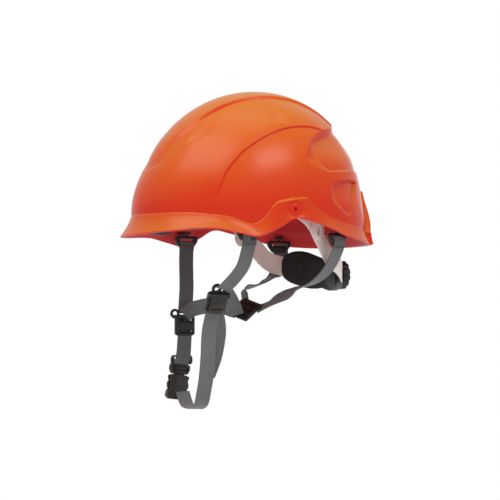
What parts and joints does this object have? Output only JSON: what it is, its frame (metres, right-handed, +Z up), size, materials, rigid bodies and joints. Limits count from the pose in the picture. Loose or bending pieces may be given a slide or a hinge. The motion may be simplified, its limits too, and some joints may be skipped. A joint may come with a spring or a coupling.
{
  "type": "arborist helmet",
  "caption": "Climbing and work helmet with short-peaked ridged shell, webbing cradle, ratchet headband and four-point chin harness with side-release buckle.",
  "frame": {"origin": "on the mid-plane at the level of the shell's rim, at the middle of the head that wears the helmet", "axes": "+Z up towards the crown, the peak points to -Y, the wearer's left is +X; the head enters along +Z"},
  "size_m": [0.2168, 0.2896, 0.3537],
  "materials": {
    "shell_gloss": "glossy moulded orange",
    "translucent_band": "milky off-white, slightly see-through",
    "black_plastic": "satin moulded black",
    "buckle_plastic": "satin moulded brown-black",
    "webbing": "flat woven grey polyester",
    "cradle_web": "flat woven light grey polyester",
    "brow_fabric": "brushed grey sweatband cloth",
    "nape_foam": "soft black foam with a napped face",
    "steel": "zinc-plated steel"
  },
  "bodies": {
    "root": {"shell": "shell_gloss", "accessory_socket_left": "shell_gloss", "accessory_socket_right": "shell_gloss", "headband": "translucent_band", "brow_pad": "brow_fabric", "front_clip_left": "translucent_band", "front_clip_right": "translucent_band", "side_arm_left": "translucent_band", "side_arm_right": "translucent_band", "arm_studs": "translucent_band", "crown_pad": "cradle_web", "cradle_arm_1": "cradle_web", "cradle_arm_2": "cradle_web", "cradle_arm_3": "cradle_web", "cradle_arm_4": "cradle_web", "cradle_arm_5": "cradle_web", "cradle_arm_6": "cradle_web", "nape_pad": "nape_foam", "ratchet_base": "black_plastic", "ratchet_cover": "black_plastic", "cover_screws": "steel", "detent_ring": "steel", "hanger_front_left": "black_plastic", "hanger_front_right": "black_plastic", "hanger_rear_left": "black_plastic", "hanger_rear_right": "black_plastic", "hanger_rivets": "black_plastic", "front_strap_left": "webbing", "front_strap_right": "webbing", "rear_strap_left": "webbing", "rear_strap_right": "webbing", "neck_slide": "black_plastic", "ear_strap_left": "webbing", "ear_strap_right": "webbing", "divider_left": "black_plastic", "divider_right": "black_plastic", "divider_pin_left": "steel", "divider_pin_right": "steel", "buckle_strap": "webbing", "ladder_bar": "black_plastic", "buckle_plug": "buckle_plastic", "chin_strap": "webbing", "chin_strap_lining": "webbing"},
    "knob": {"ratchet_knob": "black_plastic", "drive_pinion": "translucent_band", "knob_screw": "steel"},
    "rack_l": {"rack_left": "translucent_band"},
    "rack_r": {"rack_right": "translucent_band"},
    "lock_l": {"divider_lock_left": "buckle_plastic"},
    "lock_r": {"divider_lock_right": "buckle_plastic"},
    "prong_f": {"buckle_prong_front": "buckle_plastic"},
    "prong_r": {"buckle_prong_rear": "buckle_plastic"},
    "socket": {"buckle_socket": "buckle_plastic", "chin_strap_end": "webbing"}
  },
  "joints": [
    {"name": "knob_turn", "type": "hinge", "parent": "root", "child": "knob", "pos_m": [0, 0.11, -0.036], "axis": [0, 1, 0], "range_deg": [-100, 100]},
    {"name": "rack_left_slide", "type": "hinge", "parent": "root", "child": "rack_l", "pos_m": [0, 0.051, -0.036], "axis": [0, 0, 1], "range_deg": [-11.5, 11.5]},
    {"name": "rack_right_slide", "type": "hinge", "parent": "root", "child": "rack_r", "pos_m": [0, 0.051, -0.036], "axis": [0, 0, 1], "range_deg": [-11.5, 11.5]},
    {"name": "lock_left_flip", "type": "hinge", "parent": "root", "child": "lock_l", "pos_m": [0.0428, -0.055, -0.06169], "axis": [0, -1, 0], "range_deg": [0, 75]},
    {"name": "lock_right_flip", "type": "hinge", "parent": "root", "child": "lock_r", "pos_m": [-0.0841, -0.0445, -0.0835], "axis": [0, 1, 0], "range_deg": [0, 75]},
    {"name": "prong_front_press", "type": "hinge", "parent": "root", "child": "prong_f", "pos_m": [-0.08, -0.05917, -0.14943], "axis": [1, 0, 0], "range_deg": [0, 7], "stiffness_Nm_per_rad": 0.05},
    {"name": "prong_rear_press", "type": "hinge", "parent": "root", "child": "prong_r", "pos_m": [-0.08, -0.04408, -0.15128], "axis": [-1, 0, 0], "range_deg": [0, 7], "stiffness_Nm_per_rad": 0.05},
    {"name": "buckle_release", "type": "slide", "parent": "root", "child": "socket", "axis": [0, -0.1219, -0.9925], "range_m": [0, 0.03]}
  ],
  "couplings": [
    {"joint": "rack_left_slide", "follows": "knob_turn", "ratio": -0.11111},
    {"joint": "rack_right_slide", "follows": "knob_turn", "ratio": 0.11111}
  ]
}
